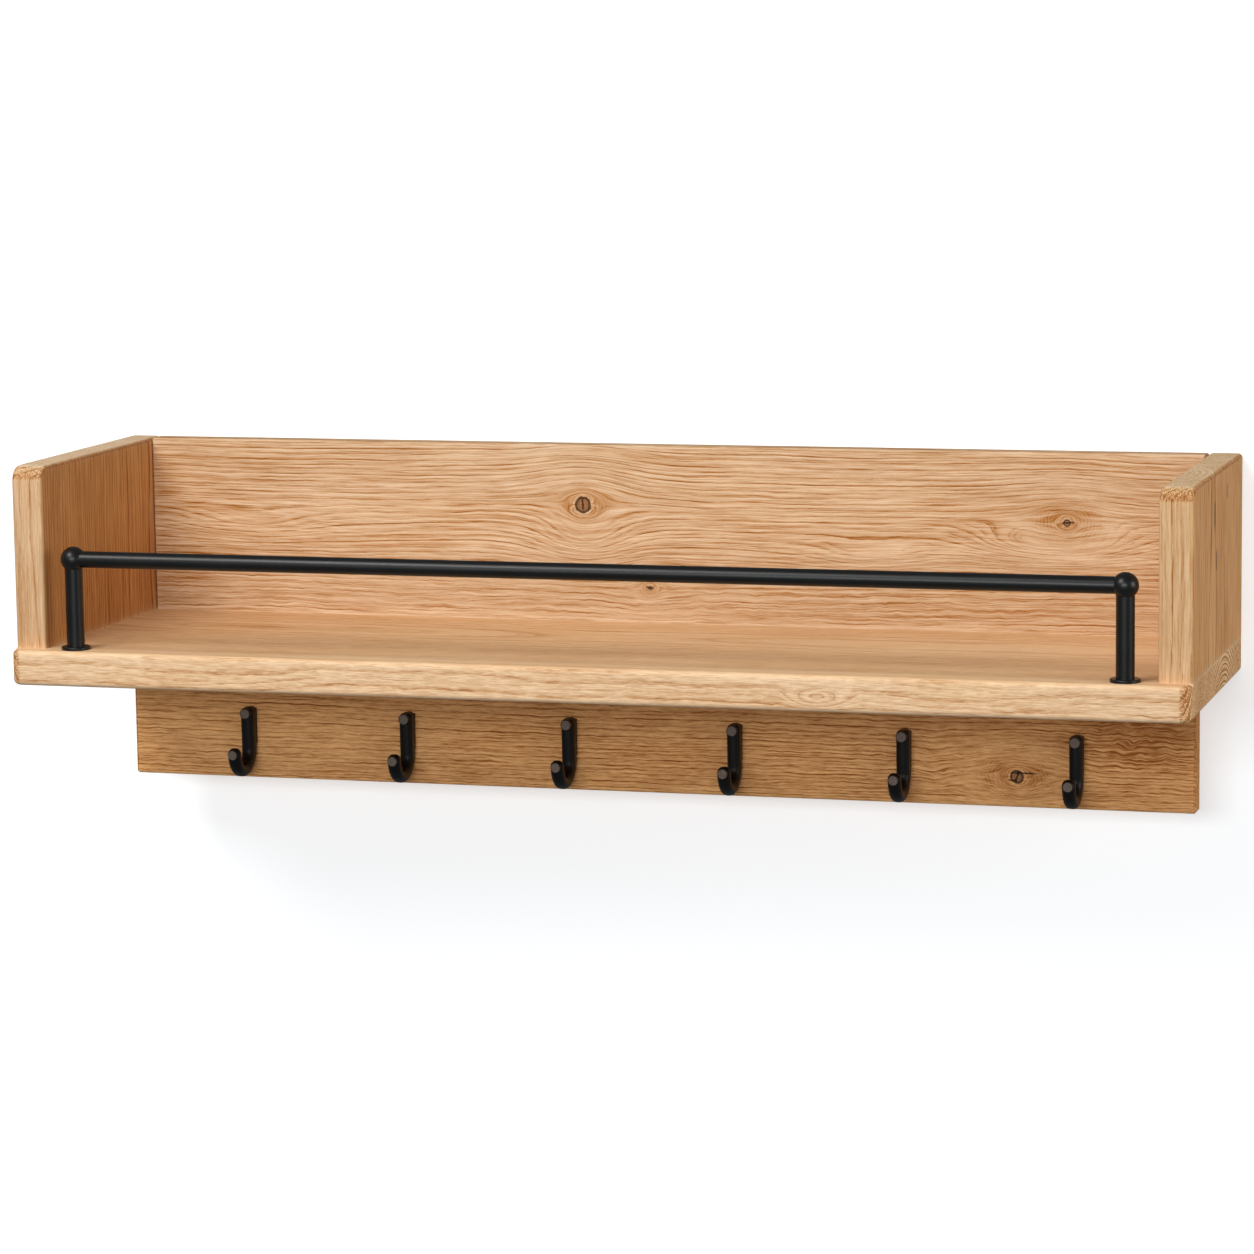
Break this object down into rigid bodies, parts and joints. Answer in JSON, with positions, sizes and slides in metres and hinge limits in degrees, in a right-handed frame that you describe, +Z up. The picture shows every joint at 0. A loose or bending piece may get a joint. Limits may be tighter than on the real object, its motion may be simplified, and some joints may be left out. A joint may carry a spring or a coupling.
{
  "type": "wall hook rack",
  "caption": "Wall-hung oak shelf with side panels, back panel and a black metal gallery rail, over a hook board with cast J-hooks for coats.",
  "frame": {"origin": "on the wall plane, on the rear face of the back panel, midway between the round entries of the two keyhole hanging plates", "axes": "+X along the shelf to the right seen from the room, +Y into the wall, +Z up"},
  "size_m": [0.9, 0.25, 0.2652],
  "materials": {
    "oak": "light natural oak, fine sanded, matt oil",
    "rail_black": "satin black powder coat",
    "hook_black": "satin black lacquer over a cast surface",
    "beech": "plain beech dowel rod",
    "zinc_steel": "bright zinc plate"
  },
  "bodies": {
    "root": {"shelf_board": "oak", "back_panel": "oak", "hook_board": "oak", "side_panel_left": "oak", "side_panel_right": "oak", "rail_tube": "rail_black", "rail_ball_left": "rail_black", "rail_ball_right": "rail_black", "rail_post_left": "rail_black", "rail_post_right": "rail_black", "rail_flange_left": "rail_black", "rail_flange_right": "rail_black", "hook_1": "hook_black", "hook_2": "hook_black", "hook_3": "hook_black", "hook_4": "hook_black", "hook_5": "hook_black", "hook_6": "hook_black", "corner_brace_left": "zinc_steel", "corner_brace_middle": "zinc_steel", "corner_brace_right": "zinc_steel", "keyhole_plate_left": "zinc_steel", "keyhole_plate_right": "zinc_steel", "side_dowels": "beech", "back_dowels": "beech", "back_end_dowels": "beech", "hook_board_dowels": "beech", "hook_screws": "zinc_steel", "rail_screws": "zinc_steel", "rail_studs": "zinc_steel", "rail_grub_screws": "rail_black", "brace_shelf_screws": "zinc_steel", "brace_board_screws": "zinc_steel", "keyhole_plate_screws": "zinc_steel"}
  },
  "joints": []
}
